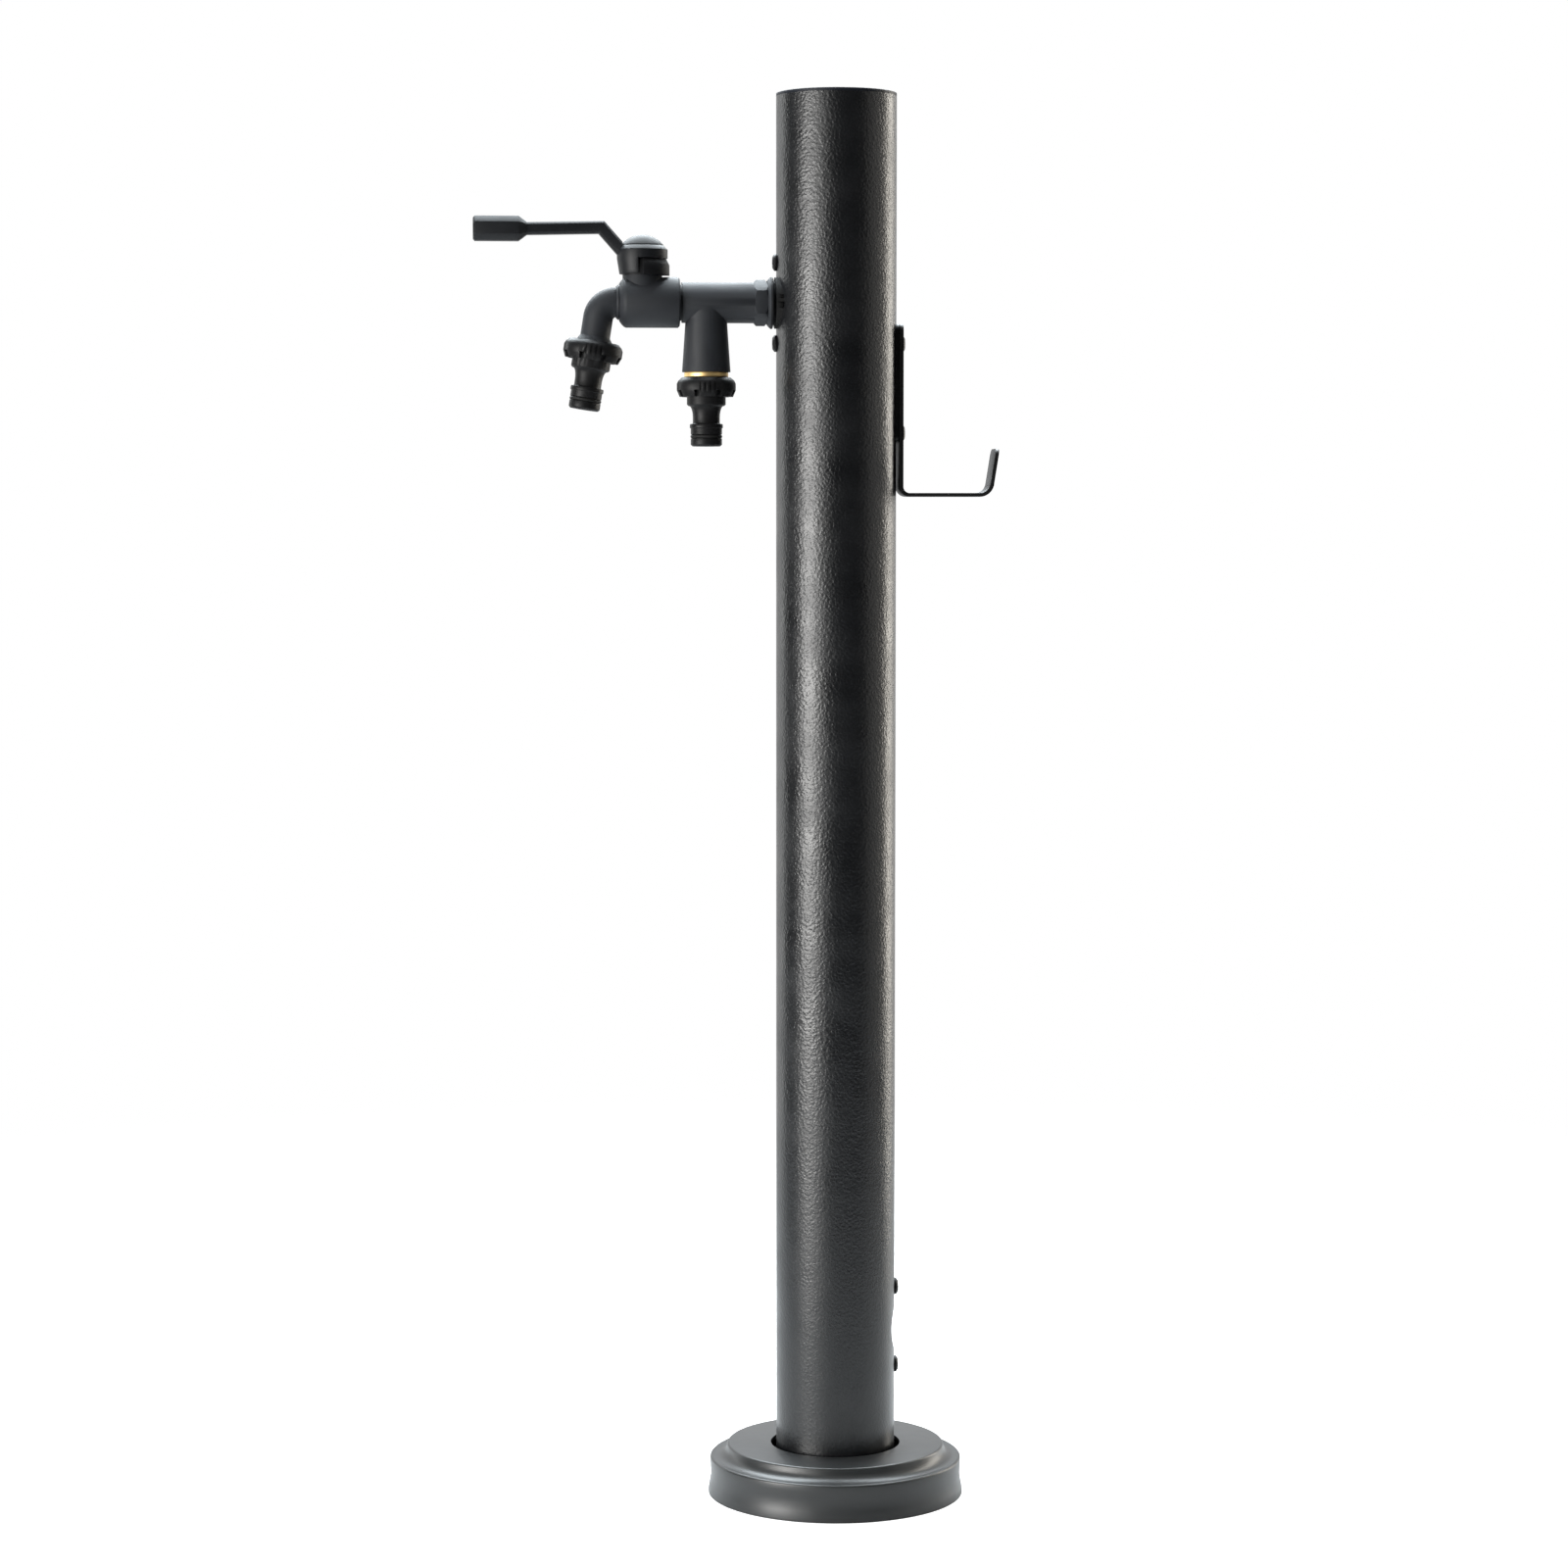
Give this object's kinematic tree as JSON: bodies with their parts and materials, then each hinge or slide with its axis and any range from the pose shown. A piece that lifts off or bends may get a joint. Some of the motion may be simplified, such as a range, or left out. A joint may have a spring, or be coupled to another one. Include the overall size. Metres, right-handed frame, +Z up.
{
  "type": "garden hydrant",
  "caption": "Round garden hydrant post with a lever ball tap, a T-branch with hose connectors, a hose hook and a loose base cover.",
  "frame": {"origin": "on the ground, on the post's axis, in the middle of the floor plate's underside", "axes": "+Z up along the post; -X along the tap, away from the post; +X towards the hose hook and out of the water inlet; +Y to the back"},
  "size_m": [0.3489, 0.1724, 0.94],
  "materials": {
    "post_coat": "hammered powder coat, semi-gloss",
    "cap_plastic": "moulded, satin",
    "plate_coat": "powder coat, semi-gloss",
    "cover_plastic": "moulded, satin, dark grey",
    "tap_coat": "smooth coat, satin",
    "lever_coat": "smooth coat, satin",
    "brass": "turned",
    "steel": "zinc plated",
    "screw_coat": "black coat, semi-gloss",
    "hook_coat": "fine powder coat, satin",
    "connector_plastic": "moulded, satin",
    "seal_rubber": "matt",
    "seat_plastic": "turned, smooth",
    "pipe_plastic": "extruded, smooth",
    "ball_chrome": "polished"
  },
  "bodies": {
    "post": {"post_tube": "post_coat", "top_cap": "cap_plastic", "base_plate": "plate_coat", "tap_wallplate": "brass", "inlet_wallplate": "brass", "riser_pipe": "pipe_plastic", "crimp_sleeves": "steel", "tap_screws": "screw_coat", "inlet_screws": "screw_coat", "tap_gasket": "seal_rubber", "tap_ring": "tap_coat", "tee_body": "tap_coat", "branch_outlet": "brass", "valve_body": "tap_coat", "seat_rings": "seat_plastic", "bonnet": "tap_coat", "spout_elbow": "tap_coat", "branch_nut": "connector_plastic", "branch_nipple": "connector_plastic", "spout_nut": "connector_plastic", "spout_nipple": "connector_plastic", "connector_washers": "seal_rubber", "connector_o_rings": "seal_rubber", "hook_strip": "hook_coat", "hook_saddle": "hook_coat", "hook_screws": "screw_coat", "hook_nuts": "steel"},
    "lever": {"lever_handle": "lever_coat", "lever_cap": "tap_coat", "lever_screw": "steel", "stem": "brass", "stem_o_rings": "seal_rubber", "ball": "ball_chrome"},
    "cover": {"base_cover": "cover_plastic"}
  },
  "joints": [
    {"name": "lever_turn", "type": "hinge", "parent": "post", "child": "lever", "pos_m": [-0.129, 0, 0.802], "axis": [0, 0, -1], "range_deg": [0, 90]},
    {"name": "cover_lift", "type": "slide", "parent": "post", "child": "cover", "axis": [0, 0, 1], "range_m": [0, 0.06]}
  ]
}
